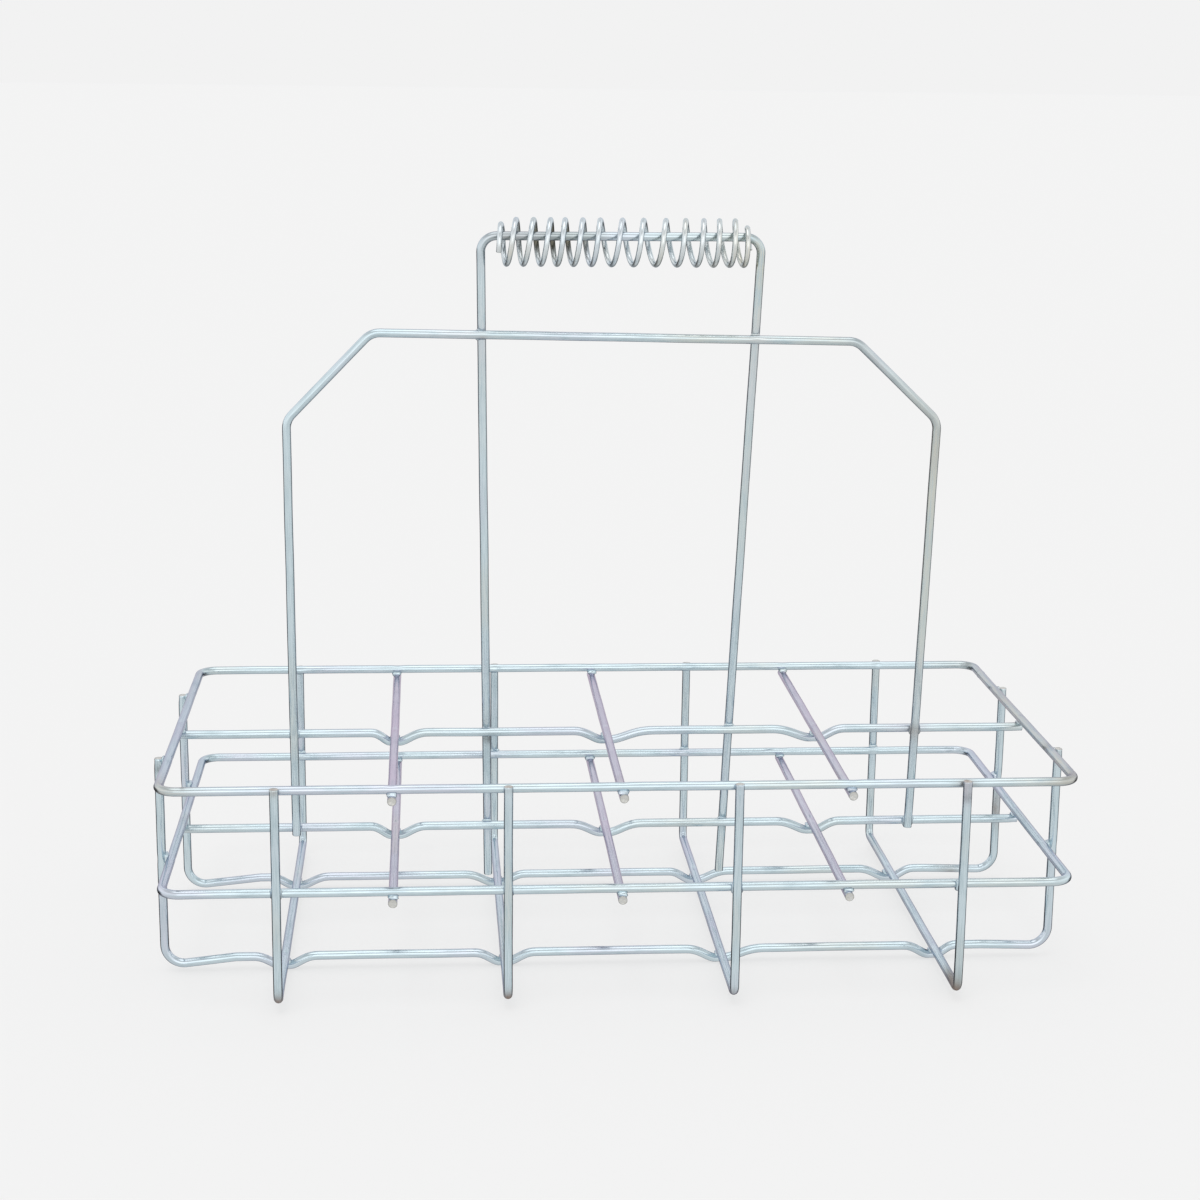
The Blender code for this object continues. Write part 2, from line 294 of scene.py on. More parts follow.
def wireFinish(name, look):
    # Low-carbon steel wire, drawn through a die and zinc plated: long fine drawing lines, soft dull clouds,
    # a thin film whose tint drifts from blue to lilac or straw, small pits, brown at welds and cut ends.
    material = bpy.data.materials.new(name)
    tree = emptyTree(material)
    unbent = addNode(tree, "Attribute", {"attribute_name": "unbent"}).outputs["Vector"]
    mark = {label: addNode(tree, "Attribute", {"attribute_name": label}).outputs["Fac"]
            for label in ("warm", "heat", "tarnishAndShade", "rust", "scale", "cutFace")}
    noise = {}
    for label, (size, drawnOut, detail) in look["patterns"].items():
        spread = addNode(tree, "Mapping", {}, {"Vector": unbent, "Scale": (1, 1, 1 / drawnOut)})
        noise[label] = addNode(tree, "TexNoise", {}, {
            "Vector": spread, "Scale": 1 / (size * mm), "Detail": detail, "Roughness": look["fineness"]})

    ranges = look["ranges"]
    lilac = addNode(tree, "MapRange", smooth, [noise["film"], *ranges["lilac"]])
    straw = addNode(tree, "MapRange", smooth, [noise["film"], *ranges["straw"]])
    lined = addNode(tree, "MapRange", smooth, [noise["streaks"], *ranges["lined"]])
    clouded = addNode(tree, "MapRange", smooth, [noise["clouds"], *ranges["clouded"]])
    dull = addNode(tree, "Math", {"operation": "ADD", "use_clamp": True}, [lined, clouded])
    heated = addNode(tree, "MapRange", smooth, [mark["heat"], *ranges["heated"]])
    patchy = addNode(tree, "MapRange", smooth, [noise["clouds"], *ranges["patchy"]])
    brown = addNode(tree, "Math", dict(times, use_clamp=True), [mark["rust"], patchy])
    specked = addNode(tree, "MapRange", smooth, [noise["pits"], *ranges["specked"]])
    cut = addNode(tree, "Math", dict(times, use_clamp=True), [mark["cutFace"], specked])
    # painted shade: a dark line round each cut face, at its rolled rim
    rim = addNode(tree, "Math", {"operation": "PINGPONG"}, [mark["cutFace"], 0.5])  # half way in
    rim = addNode(tree, "Math", times, [rim, look["rim"]])
    dark = addNode(tree, "Math", dict(times, use_clamp=True), [mark["scale"], specked])
    colour = linear(look["clean"])
    # the tarnish layer also paints shade inside the grip coil, and the rim layer paints a dark shaded line
    # round each cut face
    layers = (
        (lilac, "lilac"), (straw, "straw"), (mark["warm"], "straw"), (dull, "dull"), (heated, "dull"),
        (mark["tarnishAndShade"], "tarnishAndShade"), (cut, "cutSteel"), (rim, "tarnishAndShade"), (brown, "rust"), (dark, "scale"))
    for share, shade in layers:
        colour = addNode(tree, "Mix", {"data_type": "RGBA"}, {0: share, 6: colour, 7: linear(look[shade])})

    rough = addNode(tree, "Math", scaledSum, [dull, look["roughDull"], look["rough"]])
    rough = addNode(tree, "Math", scaledSum, [brown, look["roughBrown"], rough])
    bare = addNode(tree, "Math", larger, [addNode(tree, "Math", larger, [brown, dark]), mark["cutFace"]])
    metal = addNode(tree, "MapRange", smooth, [bare, *ranges["metal"]])
    lines = addNode(tree, "Bump", {}, {
        "Strength": look["bump"], "Distance": look["lineDepth"], "Height": noise["streaks"]})
    pocked = addNode(tree, "Bump", {}, {  # pits, a third as strong as the lines
        "Strength": look["bump"] / 3, "Distance": look["pitDepth"], "Height": noise["pits"],
        "Normal": lines})
    shader = addNode(tree, "BsdfPrincipled", {}, {
        "Base Color": colour, "Metallic": metal, "Roughness": rough, "Specular Tint": linear(look["edge"]),
        "Normal": pocked})
    addNode(tree, "OutputMaterial", {}, {"Surface": shader})
    return material


galvanised = wireFinish("zincPlatedDrawnWire", zinc)
rosyGalvanised = wireFinish("zincPlatedDividerWire", rosyZinc)
brightDrawn = wireFinish("brightDrawnCoilWire", coilSteel)
print("finishes made")


# Sizes that the solids give

def boxOf(node):
    low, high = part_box(node)
    return np.array(low), np.array(high)


rackWire = {
    "slot": "galvanised_wire",
    "finish": galvanised,
    "radius": 2.2 * mm,
    "sides": 28,
    "step": 1.1 * mm,  # between rings along the wire
    "oval": 0.018 * mm,
    "ripple": 0.016 * mm,  # unevenness of the drawn surface
    "rippleWaves": (60 * mm, 6 * mm),  # its longest wave and its shortest
    "rippleCount": 9,  # and how many it is the sum of
    "bow": 0.12 * mm,  # of the middle line from the straight
    "bowWaves": (230 * mm, 45 * mm),
    "bowGate": 20 * mm,  # from an end, over which the bow sets in
    "press": 0.35 * mm,  # depth of an electrode's flat on the far side of a weld
    "pressRange": (0.5, 1.1),  # least and most of that
    "pressReach": 2.4 * mm,
    "pressFocus": 6,  # how narrow the flat is round the wire
}

dividerWire = dict(rackWire, finish=rosyGalvanised)

coilWire = dict(
    rackWire, slot="coil_wire", finish=brightDrawn, radius=1.35 * mm, sides=20, step=0.75 * mm,
    oval=0.012 * mm, ripple=0.008 * mm, bow=0)

r = rackWire["radius"]
rimHigh = boxOf("top_ring")[1]
ringZ = {"top": rimHigh[2] - r, "middle": boxOf("middle_ring")[1][2] - r}
sideX = rimHigh[0] - r  # middle line of a ring's short side
railY = rimHigh[1] - r  # and of its long rail
crossing = boxOf("cradle_wire_1")[1][1] - r - railY  # between the middle lines of two crossed wires
runZ = r + crossing
dividerX = [sum(boxOf(f"top_divider_{i}"))[0] / 2 for i in (1, 2, 3)]
cradleX = [sum(boxOf(f"cradle_wire_{i}"))[0] / 2 for i in (1, 2, 3, 4)]
cradleY = railY + crossing
baseX = sideX + crossing
baseY = sum(boxOf("base_wire_back"))[1] / 2


# Middle lines of the wires

def unit(v):
    return v / np.linalg.norm(v, axis=-1, keepdims=True)


def roundCorners(corners, radii, arcPoints=24):
    # Straight runs joined by arcs. An arc's middle lies on the corner's bisector, away from the corner by
    # radius / cos(half the turn).
    corners = np.array(corners, float)
    line = []
    for i, corner in enumerate(corners):
        if i not in radii:
            line.append(corner[None])
            continue
        back = unit(corners[i - 1] - corner)
        ahead = unit(corners[(i + 1) % len(corners)] - corner)
        turn = math.pi - math.acos(float(back @ ahead))
        middle = corner + unit(back + ahead) * radii[i] / math.cos(turn / 2)
        start = corner + back * radii[i] * math.tan(turn / 2) - middle
        angle = np.linspace(0, turn, arcPoints)[:, None]
        line.append(middle + start * np.cos(angle) - back * radii[i] * np.sin(angle))
    return np.concatenate(line)


def evenly(line, step):
    # The same line with its points at even distances. Points that repeat the one before are left out.
    gaps = np.linalg.norm(np.diff(line, axis=0), axis=1)
    keep = np.concatenate([[True], gaps > 1e-9])
    along = np.concatenate([[0], np.cumsum(gaps)])
    even = np.linspace(0, along[-1], int(round(along[-1] / step)) + 1)
    return np.stack([np.interp(even, along[keep], line[keep, k]) for k in range(3)], 1)


crimp = {
    "flat": 4 * mm,
    "step": 0.5 * mm,  # between points
    # the run of each ramp, left and right of each crossing, in mm
    "top_centre_wire": ((11, 16), (16, 24), (22, 15)),
    "middle_centre_wire": ((12, 15), (17, 19), (18, 14)),
    "base_wire_front": ((15, 15), (14, 15), (16, 22), (14, 11)),
    "base_wire_back": ((14, 17), (17, 15), (13, 18), (16, 13)),
}


def crimpedRun(node, crossings):
    # x, and the share of the dip there: 1 over the flat, then up each ramp, steep at first and easing out:
    # (1 - u)^3 (1 + 3 u) for u from 0 to 1 along the ramp.
    runs = np.array(crimp[node]) * mm
    reach = crimp["flat"] / 2 + runs.max()
    x = np.arange(crossings[0] - reach, crossings[-1] + reach, crimp["step"])
    offset = x[:, None] - np.array(crossings)
    away = np.clip(np.abs(offset) - crimp["flat"] / 2, 0, None)
    along = np.clip(away / np.where(offset < 0, runs[:, 0], runs[:, 1]), 0, 1)
    return x, np.max((1 - along) ** 3 * (1 + 3 * along), axis=1)


# Welds: where two wires were pressed together across each other, and marks of heat, rust and scale

upright = {
    "weldSize": 0.72,  # squeezed less at an upright's end than elsewhere
    "weldDrop": 0.4 * mm,  # of such a weld below the ring's middle line
    "backTrims": (1.7 * mm, 1.3 * mm, 1.1 * mm, 0.9 * mm),  # cradle wires are sheared shorter at the back
}

welds = []


def addWeld(group, wires, place, along, across, size=1.0):
    # place is midway between the two middle lines; along and across are the two wires' directions there
    welds.append({
        "group": group, "wires": wires, "place": np.array(place, float), "size": size,
        "along": unit(np.array(along, float)), "across": unit(np.array(across, float)),
    })


def listWelds():
    half = crossing / 2
    for level in ("top", "middle"):
        z = ringZ[level]
        ring = f"{level}_ring"
        centreWire = f"{level}_centre_wire"
        group = f"{level}_ring_welds"
        for i, x in enumerate(dividerX):
            divider = f"{level}_divider_{i + 1}"
            for y in (-railY, railY):
                addWeld(group, (ring, divider), (x, y, z - half), xAxis, yAxis)
            addWeld(group, (centreWire, divider), (x, 0, z - crossing - half), xAxis, yAxis)
        for x in (-sideX, sideX):
            addWeld(group, (ring, centreWire), (x, 0, z - half), yAxis, xAxis)
        size, drop = (upright["weldSize"], upright["weldDrop"]) if level == "top" else (1, 0)
        for side in (-1, 1):
            for i, x in enumerate(cradleX):
                lower = upright["backTrims"][i] / 2 if side > 0 and level == "top" else 0
                place = (x, side * (railY + half), z - drop - lower)
                addWeld("cradle_welds", (ring, f"cradle_wire_{i + 1}"), place, xAxis, zAxis, size)
            for name, y in (("front", -baseY), ("back", baseY)):
                place = (side * (sideX + half), y, z - drop)
                addWeld("base_welds", (ring, f"base_wire_{name}"), place, yAxis, zAxis, size)
    for name, y in (("front", -baseY), ("back", baseY)):
        for i, x in enumerate(cradleX):
            wires = (f"base_wire_{name}", f"cradle_wire_{i + 1}")
            addWeld("base_welds", wires, (x, y, runZ - half), xAxis, yAxis)


listWelds()

stains = {
    # soft spots on the wires: place and reach in mm, then strength
    "rust": [
        ((-215, -107, 109), 12, 0.16), ((214, -106, 109), 14, 0.24), ((213, 106, 109), 10, 0.12),
        ((-161.2, -113, 5), 5, 0.75), ((-53.7, -113, 5), 5, 0.85), ((161.2, -113, 5), 6, 0.65),
        ((53.7, -113, 5), 4, 0.45), ((161.2, -112, 108), 5, 0.75), ((-53.7, -112, 110), 2.6, 0.40),
        ((-161.2, -112, 110), 2.6, 0.55), ((214, -56, 108), 6, 0.20), ((215, 40, 110), 16, 0.12),
        ((-55, 2, 347), 9, 0.20), ((130, -3, 296), 22, 0.18), ((160, -3, 255), 26, 0.16),
        ((-60, 4, 106), 8, 0.12), ((-63, -4, 304), 2.2, 0.25), ((158, -4, 104), 5, 0.45),
        ((195, 56, 7), 6, 0.55), ((219.7, 56, 40), 9, 0.50), ((161.2, -103, 7), 8, 0.35),
        ((53.7, -108, 7), 7, 0.15),
    ],
    "tarnishAndShade": [
        # painted shade inside the grip coil: its back strands behind the bar, the bar within its turns and
        # the lower back strands are darkened; the spot at (-61, -9, 342) darkens the coil's left tail
        ((-38, 13, 354), 8, 0.7), ((-31, 13, 354), 8, 0.8), ((-23, 13, 354), 8, 0.8),
        ((-14, 13, 353), 7, 0.6), ((-48, 12, 356), 6, 0.4), ((-61, -9, 342), 7, 0.30),
        *[((x, 2, 353), 6, 0.34) for x in range(-56, 0, 8)],
        *[((x, 10, 347), 6, 0.12) for x in (-40, -32, -24, -15)],
        # darker spots low on the right cradle wire's front bend
        ((161.2, -108, 8), 12, 0.5), ((161.2, -96, 8), 10, 0.25),
    ],
    "warm": [
        ((160, -3, 235), 50, 0.8), ((157, -4, 160), 45, 0.6), ((66, 2, 320), 45, 0.6),
        ((65, 3, 230), 40, 0.4), ((-66, 2, 300), 30, 0.3), ((-47, -9, 347), 7, 0.8),
        ((60, -5, 350), 7, 0.4), ((73, 2, 343), 14, 0.7), ((-24, -8, 341), 9, 0.5),
        ((20, -8, 341), 9, 0.4), ((-212, -104, 109), 16, 0.7), ((210, -104, 109), 24, 0.8),
        *[((211, y, 110), 7, 0.65) for y in range(-80, 95, 10)],
    ],
    "scale": [
        ((161.2, -112, 103), 2.4, 0.6), ((-203, -107.5, 110), 1.3, 0.7), ((-196, -107.5, 109), 1.0, 0.5),
        ((-219, -57, 104), 2.5, 0.5), ((-60, 4, 100), 3, 0.6), ((64, 4, 52), 3, 0.5),
        ((210, 101, 109), 3, 0.7),
    ],
}

heatReach = 3.6 * mm  # of the dulling round a weld


def stainAt(points, kind):
    # Sum of soft round spots, each a bell with its own reach.
    total = np.zeros(len(points))
    for place, reach, strength in stains[kind]:
        away = np.linalg.norm(points - np.array(place) * mm, axis=1)
        total += strength * np.exp(-((away / (reach * mm)) ** 2))
    return np.clip(total, 0, 1)


def heatAt(points):
    # Sum of bells round the welds.
    total = np.zeros(len(points))
    for weld in welds:
        away = np.linalg.norm(points - weld["place"], axis=1)
        total += np.exp(-((away / heatReach) ** 2))
    return np.clip(total, 0, 1)


# Meshes of wires and welds

def waves(share, angle, seed, fewest, most, count=7):
    # Sum of equal waves with whole numbers of turns along the wire (share 0 to 1) and round it; -1 to 1.
    draw = np.random.default_rng(seed)
    total = np.zeros(np.broadcast(share, angle).shape)
    for turns in np.geomspace(max(fewest, 1), max(most, 2), count).round():
        total += np.sin(math.tau * turns * share + draw.integers(0, 4) * angle + draw.uniform(0, math.tau))
    return total / count


def gridFaces(rings, sides, closed=False):
    # Corner numbers of the quads between rings of points. Rings that don't close up end in fans to two
    # poles, which are numbered after the rings' own points.
    number = np.arange(rings * sides).reshape(rings, sides)
    here = number if closed else number[:-1]
    there = np.roll(number, -1, 0) if closed else number[1:]
    quads = np.stack([here, np.roll(here, -1, 1), np.roll(there, -1, 1), there], 2).reshape(-1, 4)
    if closed:
        return quads, np.zeros((0, 3), int)
    start = np.stack([np.full(sides, number.size), np.roll(number[0], -1), number[0]], 1)
    end = np.stack([np.full(sides, number.size + 1), number[-1], np.roll(number[-1], -1)], 1)
    return quads, np.concatenate([start, end])


def pieceFrom(name, points, quads, triangles, stock, unbent, cutFace):
    # A mesh from arrays of corner numbers, four and three to a face, with the fields that its finish reads.
    mesh = bpy.data.meshes.new(name)
    mesh.vertices.add(len(points))
    mesh.vertices.foreach_set("co", points.astype(np.float32).ravel())
    corners = np.concatenate([quads.ravel(), triangles.ravel()])
    sizes = np.concatenate([np.full(len(quads), 4), np.full(len(triangles), 3)])
    mesh.loops.add(len(corners))
    mesh.loops.foreach_set("vertex_index", corners.astype(np.int32))
    mesh.polygons.add(len(sizes))
    mesh.polygons.foreach_set("loop_start", (np.cumsum(sizes) - sizes).astype(np.int32))
    mesh.update(calc_edges=True)
    mesh.shade_smooth()
    mesh.materials.append(stock["finish"])
    fields = {kind: stainAt(points, kind) for kind in stains}
    for label, values in dict(fields, cutFace=cutFace, heat=heatAt(points)).items():
        mesh.attributes.new(label, "FLOAT", "POINT").data.foreach_set("value", values.astype(np.float32))
    vectors = mesh.attributes.new("unbent", "FLOAT_VECTOR", "POINT")
    vectors.data.foreach_set("vector", unbent.astype(np.float32).ravel())
    piece = bpy.data.objects.new(name, mesh)
    bpy.context.scene.collection.objects.link(piece)
    return piece


cutEnd = {
    "shares": (0.25, 0.5, 0.72, 0.88, 0.96),  # rings of a cut face, as shares of the wire's radius
    "rolled": (0, 0, 0, 0.02, 0.07),  # how far each is rolled back at the rim, in radii
    "bare": (1, 1, 1, 0.85, 0.5),  # and how much of it is bare steel
    "dish": 0.10,
    "grain": 0.03,
    "tilt": (0.03, 0.09),  # least and most, in radii of rise for a radius across
    "reach": 3 * mm,
}

buttWeld = {
    "reach": 1.3 * mm,
    "height": 0.25 * mm,
    "level": 0.6,  # share of the height that is even all round
    "lumps": 0.8,  # and that the waves add or take away
    "waves": (300, 900),
}


def wireRadii(node, line, outward, angle, stock, seed, draw, closed):
    # The section's radius at each point: the wire's own, less a ripple, an oval and a bell-shaped flat on
    # the far side of each weld. A closed wire has a low, rough butt weld where it starts.
    share = (np.arange(len(line)) / len(line))[:, None]
    length = (len(line) - 1) * stock["step"]
    fewest, most = (length / wave for wave in stock["rippleWaves"])
    ripple = waves(share, angle[None], seed + 3, fewest, most, stock["rippleCount"])
    radii = stock["radius"] - stock["ripple"] * (1 + ripple)
    radii = radii - stock["oval"] * (1 + np.cos(2 * angle + draw.uniform(0, math.tau)))[None]
    for weld in welds:
        if node not in weld["wires"]:
            continue
        nearest = line[np.argmin(np.linalg.norm(line - weld["place"], axis=1))]
        bell = np.exp(-((np.linalg.norm(line - nearest, axis=1) / stock["pressReach"]) ** 2))[:, None]
        facing = np.clip(outward @ unit(nearest - weld["place"]), 0, 1) ** stock["pressFocus"]
        radii = radii - stock["press"] * draw.uniform(*stock["pressRange"]) * bell * facing
    if closed:
        seam = np.exp(-((np.minimum(share, 1 - share) * length / buttWeld["reach"]) ** 2))
        lumps = buttWeld["lumps"] * waves(share, angle[None], seed + 4, *buttWeld["waves"])
        radii = radii + seam * buttWeld["height"] * (buttWeld["level"] + lumps)
    return radii


def shearEnds(points, tangent, angle, stock, draw):
    # An open wire's sheared ends: a tilt that fades out along the wire, then rings that draw in to a pole,
    # a little dished and grained, with a rolled rim. Gives the wire's points, both ends' rings and poles.
    radius = stock["radius"]
    along = np.arange(len(points)) * stock["step"]
    shares = np.array(cutEnd["shares"])[:, None]
    rolled = np.array(cutEnd["rolled"])[:, None] * radius
    dish = cutEnd["dish"] * radius
    faces, poles = [], []
    for end, inward in ((0, 1), (-1, -1)):
        turn = draw.uniform(0, math.tau)
        near = np.clip(1 - np.abs(along - along[end]) / cutEnd["reach"], 0, 1) ** 2
        slope = draw.uniform(*cutEnd["tilt"]) * radius * (1 + np.cos(angle - turn))
        points = points + inward * (near[:, None] * slope)[:, :, None] * tangent[end]
        grain = cutEnd["grain"] * radius * np.sin(3 * angle + turn) * (1 - shares) * shares * 4
        middle = np.mean(points[end], axis=0)
        depth = (grain + dish * (1 - shares) - rolled)[:, :, None]
        faces.append(middle + (points[end] - middle) * shares[:, :, None] + inward * tangent[end] * depth)
        poles.append(middle + inward * tangent[end] * dish)
    return points, faces, poles


def sweptWire(node, line, sideways, stock, seed, closed=False, body="frame"):
    # A round section carried along the middle line, which bows off the straight by a sum of waves. The
    # finish reads each point's place on the same wire unbent, along Z.
    draw = np.random.default_rng(seed)
    line = evenly(line, stock["step"])
    if closed:
        line = line[:-1]
        tangent = unit(np.roll(line, -1, 0) - np.roll(line, 1, 0))
    else:
        tangent = unit(np.gradient(line, axis=0))
    side = unit(sideways - tangent * (tangent @ np.array(sideways, float))[:, None])
    other = np.cross(tangent, side)
    along = np.arange(len(line)) * stock["step"]
    share = np.arange(len(line)) / len(line)
    fewest, most = (along[-1] / wave for wave in stock["bowWaves"])
    gate = np.clip(np.minimum(along, along[-1] - along) / stock["bowGate"], 0, 1)[:, None] * stock["bow"]
    line = line + gate * side * waves(share, 0, seed + 1, fewest, most)[:, None]
    line = line + gate * other * waves(share, 0, seed + 2, fewest, most)[:, None]

    angle = np.linspace(0, math.tau, stock["sides"], endpoint=False)
    across = np.cos(angle)[None, :, None]
    over = np.sin(angle)[None, :, None]
    outward = side[:, None] * across + other[:, None] * over
    radii = wireRadii(node, line, outward, angle, stock, seed, draw, closed)
    points = line[:, None] + outward * radii[:, :, None]
    unbent = np.stack(np.broadcast_arrays(
        stock["radius"] * across[:, :, 0], stock["radius"] * over[:, :, 0], along[:, None]), 2)
    cutFace = np.zeros(points.shape[:2])
    if not closed:
        points, faces, poles = shearEnds(points, tangent, angle, stock, draw)
        points = np.concatenate([faces[0], points, faces[1][::-1]])
        count = len(cutEnd["shares"])
        unbent = np.concatenate([np.repeat(unbent[:1], count, 0), unbent, np.repeat(unbent[-1:], count, 0)])
        bare = np.array(cutEnd["bare"])[:, None] * np.ones(len(angle))
        cutFace = np.concatenate([bare, cutFace, bare[::-1]])

    quads, triangles = gridFaces(*points.shape[:2], closed)
    points, unbent, cutFace = points.reshape(-1, 3), unbent.reshape(-1, 3), cutFace.ravel()
    if not closed:
        points = np.concatenate([points, poles])
        unbent = np.concatenate([unbent, [[0, 0, 0], [0, 0, along[-1]]]])
        cutFace = np.concatenate([cutFace, [1, 1]])
    low, high = boxOf(node)
    points = np.clip(points, low, high)  # a bowed wire rests flat on what bounds it
    unbent = unbent + draw.uniform(0, 1, 3)  # so that no two wires have the same pattern
    piece = pieceFrom(f"{node}_drawn", points, quads, triangles, stock, unbent, cutFace)
    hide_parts(node)
    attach(piece, body)


# Rings: rounded rectangles, closed by a butt weld in the right short side or the back rail

rings = {
    "cornerRadius": 9 * mm,
    "seam": {"top": (1, 0.80), "middle": (0.62, 1)},  # where the butt weld is, in shares of the half sides
    "seeds": {"top": 11, "middle": 21},
}


def makeRing(level):
    z = ringZ[level]
    startX, startY = rings["seam"][level]
    corners = [(sideX, railY, z), (-sideX, railY, z), (-sideX, -railY, z), (sideX, -railY, z)]
    if startX < 1:  # the seam lies in the back rail, so the back right corner comes last
        corners = corners[1:] + corners[:1]
    start = (startX * sideX, startY * railY, z)
    radii = {i: rings["cornerRadius"] for i in (1, 2, 3, 4)}
    line = roundCorners([start] + corners + [start], radii)
    sweptWire(f"{level}_ring", line, zAxis, rackWire, rings["seeds"][level], closed=True)


makeRing("top")
makeRing("middle")
print("rings drawn")


# Centre wires and dividers: the wires under each ring

under = {
    "centreReach": sideX + 1.0 * mm,  # half a centre wire's length
    "dividerReach": railY + 3.9 * mm,  # and half a divider's
    "centreSeeds": {"top": 31, "middle": 32},
    "dividerSeeds": {"top": (41, 46, 51), "middle": (61, 66, 71)},
}


def makeCentreWire(level):
    z = ringZ[level] - crossing
    x, share = crimpedRun(f"{level}_centre_wire", dividerX)
    run = np.stack([x, 0 * x, z - crossing * share], 1)
    reach = under["centreReach"]
    line = np.concatenate([[(-reach, 0, z)], run, [(reach, 0, z)]])
    sweptWire(f"{level}_centre_wire", line, yAxis, rackWire, under["centreSeeds"][level])


def makeDividers(level):
    z = ringZ[level] - crossing
    for i, x in enumerate(dividerX):
        line = np.array([(x, -under["dividerReach"], z), (x, under["dividerReach"], z)])
        sweptWire(f"{level}_divider_{i + 1}", line, xAxis, dividerWire, under["dividerSeeds"][level][i])


for level in ("top", "middle"):
    makeCentreWire(level)
    makeDividers(level)
print("centre wires and dividers drawn")


# Cradle wires: U shapes across the rack

cradle = {"bendRadius": 4.2 * mm, "seeds": (91, 98, 105, 112)}


def makeCradleWires():
    top = ringZ["top"] + r
    radii = {1: cradle["bendRadius"], 2: cradle["bendRadius"]}
    for i, x in enumerate(cradleX):
        backTop = top - upright["backTrims"][i]
        corners = [(x, -cradleY, top), (x, -cradleY, runZ), (x, cradleY, runZ), (x, cradleY, backTop)]
        line = roundCorners(corners, radii)
        sweptWire(f"cradle_wire_{i + 1}", line, xAxis, rackWire, cradle["seeds"][i])


makeCradleWires()


# Base wires: U shapes along the rack, crimped under each cradle wire

base = {
    "bendRadius": 9.5 * mm,
    "topRise": 0.5 * mm,  # of its ends above the rim's middle line
    "leftSag": 4 * mm,  # of its corners, before they are rounded, below the run
    "rightSag": 1 * mm,
    "seeds": {"front": 131, "back": 141},
}


def makeBaseWires():
    top = ringZ["top"] + base["topRise"]
    for name, y in (("front", -baseY), ("back", baseY)):
        x, share = crimpedRun(f"base_wire_{name}", cradleX)
        run = np.stack([x, 0 * x + y, runZ - crossing * share], 1)
        left = [(-baseX, y, top), (-baseX, y, runZ - base["leftSag"])]
        right = [(baseX, y, runZ - base["rightSag"]), (baseX, y, top)]
        corners = np.concatenate([left, run, right])
        radii = {1: base["bendRadius"], len(corners) - 2: base["bendRadius"]}
        line = roundCorners(corners, radii)
        sweptWire(f"base_wire_{name}", line, yAxis, rackWire, base["seeds"][name])


makeBaseWires()
print("cradle and base wires drawn")


# Handle and brace hoop: two inverted U shapes, welded to both sides of the centre wires and to each other

handle = {
    "barZ": 354.0 * mm,
    "footZ": 26.0 * mm,
    "topHalf": 68.85 * mm,  # half the distance between the legs at the bar
    "footHalf": 60.25 * mm,  # and at their feet
    "topShift": 4.8 * mm,  # along X, of the middle between them at the bar
    "footShift": 0.2 * mm,  # and at their feet
    "bendRadius": 7.7 * mm,
    "seed": 151,
}

hoop = {
    "leftTopZ": 307.2 * mm,  # its top falls a little to the right
    "rightTopZ": 303.7 * mm,
    "shoulderZ": 264.3 * mm,  # where the legs end and the sloping shoulders start
    "footZ": 51.6 * mm,
    "shoulderHalf": 161.3 * mm,
    "footHalf": 157.5 * mm,
    "shoulderShift": 2.3 * mm,
    "footShift": -0.2 * mm,
    "shoulderRun": 41.8 * mm,  # of a shoulder along X
    "bendRadius": 10 * mm,
    "weldShare": 0.45,  # of half its top's fall, by which its welds to the handle lie off the middle height
    "seed": 161,
}

hoopTopZ = (hoop["leftTopZ"] + hoop["rightTopZ"]) / 2


def lean(z, side):
    # One crossing off the middle plane up to the top ring, then in, until the hoop touches the handle.
    climb = max(z - ringZ["top"], 0) / (hoopTopZ - ringZ["top"])
    return side * crossing * (1 - climb / 2)


def legX(shape, side, z, topKey, halfKey, shiftKey):
    # x of a straight leg at height z
    share = (z - shape["footZ"]) / (shape[topKey] - shape["footZ"])
    foot = shape["footShift"] + side * shape["footHalf"]
    top = shape[shiftKey] + side * shape[halfKey]
    return foot + (top - foot) * share


def handleX(side, z):
    return legX(handle, side, z, "barZ", "topHalf", "topShift")


def hoopX(side, z):
    return legX(hoop, side, z, "shoulderZ", "shoulderHalf", "shoulderShift")


def makeHandle():
    left = [(handleX(-1, z), lean(z, 1), z) for z in (handle["footZ"], ringZ["top"], handle["barZ"])]
    right = [(handleX(1, z), lean(z, 1), z) for z in (handle["barZ"], ringZ["top"], handle["footZ"])]
    line = roundCorners(left + right, {2: handle["bendRadius"], 3: handle["bendRadius"]})
    sweptWire("handle_wire", line, yAxis, rackWire, handle["seed"])


def makeHoop():
    sides = []
    for side, topZ in ((-1, hoop["leftTopZ"]), (1, hoop["rightTopZ"])):
        leg = [(hoopX(side, z), lean(z, -1), z) for z in (hoop["footZ"], ringZ["top"], hoop["shoulderZ"])]
        leg.append((leg[-1][0] - side * hoop["shoulderRun"], lean(hoopTopZ, -1), topZ))
        sides.append(leg)
    line = roundCorners(sides[0] + sides[1][::-1], {i: hoop["bendRadius"] for i in (2, 3, 4, 5)})
    sweptWire("brace_hoop", line, yAxis, rackWire, hoop["seed"])


def listUprightWelds():
    group = "upright_welds"
    for level in ("top", "middle"):
        z = ringZ[level] - crossing
        centreWire = f"{level}_centre_wire"
        for side in (-1, 1):
            addWeld(group, (centreWire, "handle_wire"), (handleX(side, z), crossing / 2, z), xAxis, zAxis)
            addWeld(group, (centreWire, "brace_hoop"), (hoopX(side, z), -crossing / 2, z), xAxis, zAxis)
    for side in (-1, 1):
        z = hoopTopZ - side * hoop["weldShare"] * (hoop["leftTopZ"] - hoop["rightTopZ"]) / 2
        addWeld(group, ("brace_hoop", "handle_wire"), (handleX(side, z), 0, z), xAxis, zAxis)


listUprightWelds()
makeHandle()
makeHoop()
print("handle and hoop drawn")


# Grip coil: loose turns of thinner wire on the hand bar

